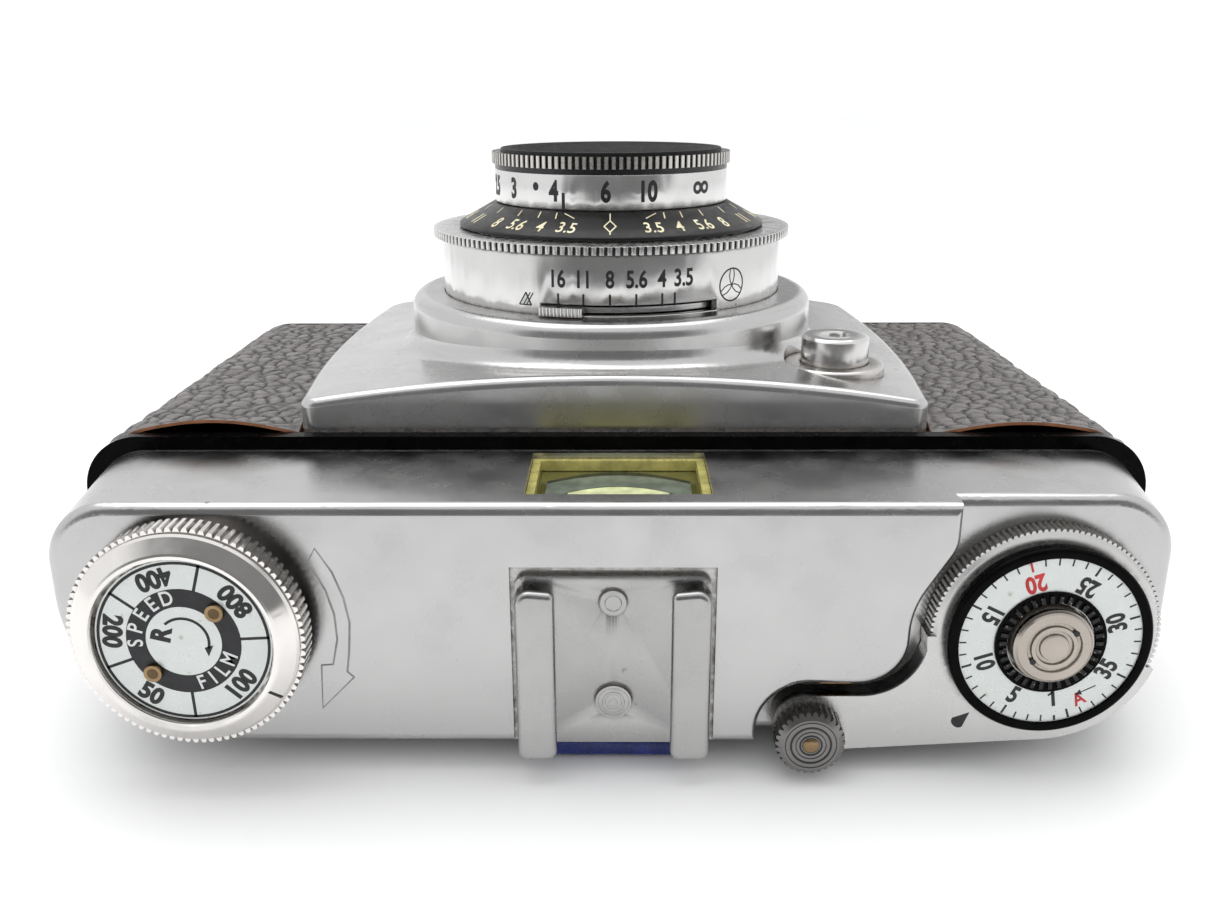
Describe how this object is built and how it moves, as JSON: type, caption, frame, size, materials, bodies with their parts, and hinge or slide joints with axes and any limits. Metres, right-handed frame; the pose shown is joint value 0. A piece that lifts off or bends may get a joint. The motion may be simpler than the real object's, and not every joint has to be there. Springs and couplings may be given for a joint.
{
  "type": "film camera",
  "caption": "Viewfinder film camera lying on its back, with leaf shutter, lever wind, rewind knob, accessory shoe, hinged back and tripod socket.",
  "frame": {"origin": "where the lens axis meets the plane that the camera's back rests on", "axes": "+Z along the lens axis out of the lens, -Y towards the top plate, +Y towards the base and its tripod socket, +X towards the winding side"},
  "size_m": [0.1343, 0.0945, 0.066],
  "materials": {
    "black_casting": "black paint over die-cast alloy",
    "satin_chrome": "satin",
    "leather": "coarse pebbled grain",
    "black_paint": "satin black",
    "bright_metal": "bright turned",
    "steel": "brushed",
    "brass": "aged",
    "white_dial": "matte white enamel",
    "glass": "coated",
    "black_plastic": "matte"
  },
  "bodies": {
    "camera_body": {"body_casting": "black_casting", "casting_rewind_side": "black_casting", "casting_wind_side": "black_casting", "top_cover": "satin_chrome", "bottom_cover": "satin_chrome", "front_plate": "satin_chrome", "leather_left": "leather", "leather_right": "leather", "bottom_screws": "steel", "tripod_bush": "brass", "accessory_shoe": "satin_chrome", "shoe_rivets": "bright_metal", "window_frame": "black_paint", "viewfinder_window": "glass", "viewfinder_tube": "black_paint", "eyepiece_bezel": "black_paint", "eyepiece_lens": "glass", "shutter_housing": "bright_metal", "lens_mount": "steel", "depth_scale": "black_paint", "middle_lens": "glass", "rear_lens": "glass", "sync_socket": "brass", "release_collar": "bright_metal", "film_gate": "black_paint", "hinge_bracket": "bright_metal", "hinge_pin": "steel"},
    "wind_lever": {"wind_lever": "satin_chrome", "counter_nut": "bright_metal", "roller_pin": "brass"},
    "thumb_roller": {"thumb_roller": "bright_metal"},
    "counter_dial": {"counter_dial": "white_dial", "counter_rim": "black_paint"},
    "rewind_sleeve": {"rewind_sleeve": "steel"},
    "rewind_knob": {"rewind_knob": "bright_metal", "rewind_shaft": "steel"},
    "film_reminder": {"film_reminder_disc": "white_dial", "reminder_pins": "brass"},
    "release_button": {"release_button": "bright_metal"},
    "focus_ring": {"focus_barrel": "bright_metal", "focus_grip": "black_paint"},
    "front_lens_cell": {"front_lens_cell": "black_paint", "front_lens": "glass"},
    "speed_ring": {"speed_ring": "bright_metal"},
    "aperture_lever": {"aperture_lever": "bright_metal"},
    "back_door": {"back_door": "black_paint", "back_leather": "leather", "pressure_plate": "black_paint"},
    "door_latch": {"door_latch": "bright_metal"},
    "film_sprocket": {"film_sprocket": "steel"},
    "take_up_spool": {"take_up_spool": "black_plastic"},
    "idler_gear": {"idler_gear": "steel"},
    "rewind_release_button": {"rewind_release_button": "steel"},
    "iris_blade_1": {"iris_blade_1": "steel"},
    "iris_blade_2": {"iris_blade_2": "steel"},
    "iris_blade_3": {"iris_blade_3": "steel"},
    "iris_blade_4": {"iris_blade_4": "steel"},
    "iris_blade_5": {"iris_blade_5": "steel"},
    "shutter_blade_1": {"shutter_blade_1": "steel"},
    "shutter_blade_2": {"shutter_blade_2": "steel"}
  },
  "joints": [
    {"name": "wind_turn", "type": "hinge", "parent": "camera_body", "child": "wind_lever", "pos_m": [0.0476, -0.053, 0.017], "axis": [0, -1, 0], "range_deg": [0, 150], "stiffness_Nm_per_rad": 0.004, "springref_deg": -28.65},
    {"name": "roller_turn", "type": "hinge", "parent": "wind_lever", "child": "thumb_roller", "pos_m": [0.0222, -0.053, 0.0052], "axis": [0, -1, 0], "continuous": true},
    {"name": "counter_turn", "type": "hinge", "parent": "camera_body", "child": "counter_dial", "pos_m": [0.0476, -0.053, 0.017], "axis": [0, -1, 0], "continuous": true},
    {"name": "rewind_turn", "type": "hinge", "parent": "camera_body", "child": "rewind_sleeve", "pos_m": [-0.0446, -0.053, 0.0189], "axis": [0, -1, 0], "continuous": true},
    {"name": "rewind_lift", "type": "slide", "parent": "rewind_sleeve", "child": "rewind_knob", "axis": [0, -1, 0], "range_m": [0, 0.006]},
    {"name": "reminder_turn", "type": "hinge", "parent": "rewind_knob", "child": "film_reminder", "pos_m": [-0.0446, -0.0574, 0.0189], "axis": [0, -1, 0], "continuous": true},
    {"name": "release_press", "type": "slide", "parent": "camera_body", "child": "release_button", "axis": [0, 0, -1], "range_m": [0, 0.0025], "stiffness_N_per_m": 400, "springref_m": -0.001},
    {"name": "focus_turn", "type": "hinge", "parent": "camera_body", "child": "focus_ring", "pos_m": [0, 0, 0.061], "axis": [0, 0, 1], "range_deg": [-49, 266]},
    {"name": "focus_travel", "type": "slide", "parent": "focus_ring", "child": "front_lens_cell", "axis": [0, 0, 1], "range_m": [-0.00019, 0.00102]},
    {"name": "speed_turn", "type": "hinge", "parent": "camera_body", "child": "speed_ring", "pos_m": [0, 0, 0.055], "axis": [0, 0, 1], "range_deg": [-28, 28]},
    {"name": "aperture_turn", "type": "hinge", "parent": "camera_body", "child": "aperture_lever", "pos_m": [0, 0, 0.047], "axis": [0, 0, 1], "range_deg": [0, 42]},
    {"name": "iris_turn_1", "type": "hinge", "parent": "camera_body", "child": "iris_blade_1", "pos_m": [0.009, 0, 0.04866], "axis": [0, 0, 1], "range_deg": [-32.6, 0]},
    {"name": "iris_turn_2", "type": "hinge", "parent": "camera_body", "child": "iris_blade_2", "pos_m": [0.00278, 0.00856, 0.0489], "axis": [0, 0, 1], "range_deg": [-32.6, 0]},
    {"name": "iris_turn_3", "type": "hinge", "parent": "camera_body", "child": "iris_blade_3", "pos_m": [-0.00728, 0.00529, 0.04914], "axis": [0, 0, 1], "range_deg": [-32.6, 0]},
    {"name": "iris_turn_4", "type": "hinge", "parent": "camera_body", "child": "iris_blade_4", "pos_m": [-0.00728, -0.00529, 0.04938], "axis": [0, 0, 1], "range_deg": [-32.6, 0]},
    {"name": "iris_turn_5", "type": "hinge", "parent": "camera_body", "child": "iris_blade_5", "pos_m": [0.00278, -0.00856, 0.04962], "axis": [0, 0, 1], "range_deg": [-32.6, 0]},
    {"name": "shutter_open_1", "type": "hinge", "parent": "camera_body", "child": "shutter_blade_1", "pos_m": [0, -0.012, 0.05047], "axis": [0, 0, 1], "range_deg": [0, 45], "stiffness_Nm_per_rad": 0.00002, "springref_deg": -11.46},
    {"name": "shutter_open_2", "type": "hinge", "parent": "camera_body", "child": "shutter_blade_2", "pos_m": [0, 0.012, 0.05082], "axis": [0, 0, 1], "range_deg": [0, 45]},
    {"name": "door_open", "type": "hinge", "parent": "camera_body", "child": "back_door", "pos_m": [0.0672, 0, 0.0024], "axis": [0, -1, 0], "range_deg": [0, 180]},
    {"name": "latch_slide", "type": "slide", "parent": "camera_body", "child": "door_latch", "axis": [0, 1, 0], "range_m": [0, 0.003], "stiffness_N_per_m": 150, "springref_m": -0.002},
    {"name": "sprocket_turn", "type": "hinge", "parent": "camera_body", "child": "film_sprocket", "pos_m": [0.0285, 0, 0.0105], "axis": [0, -1, 0], "continuous": true},
    {"name": "take_up_turn", "type": "hinge", "parent": "camera_body", "child": "take_up_spool", "pos_m": [0.0476, 0, 0.017], "axis": [0, -1, 0], "continuous": true},
    {"name": "idler_turn", "type": "hinge", "parent": "camera_body", "child": "idler_gear", "pos_m": [0.03805, -0.035, 0.01375], "axis": [0, -1, 0], "continuous": true},
    {"name": "rewind_release_press", "type": "slide", "parent": "camera_body", "child": "rewind_release_button", "axis": [0, -1, 0], "range_m": [0, 0.0015], "stiffness_N_per_m": 300, "springref_m": -0.001}
  ],
  "couplings": [
    {"joint": "focus_travel", "follows": "focus_turn", "m_per_rad": 0.000218},
    {"joint": "iris_turn_1", "follows": "aperture_turn", "ratio": -0.776},
    {"joint": "iris_turn_2", "follows": "aperture_turn", "ratio": -0.776},
    {"joint": "iris_turn_3", "follows": "aperture_turn", "ratio": -0.776},
    {"joint": "iris_turn_4", "follows": "aperture_turn", "ratio": -0.776},
    {"joint": "iris_turn_5", "follows": "aperture_turn", "ratio": -0.776},
    {"joint": "shutter_open_2", "follows": "shutter_open_1", "ratio": 1},
    {"joint": "take_up_turn", "follows": "sprocket_turn", "ratio": 1},
    {"joint": "idler_turn", "follows": "sprocket_turn", "ratio": -1}
  ]
}
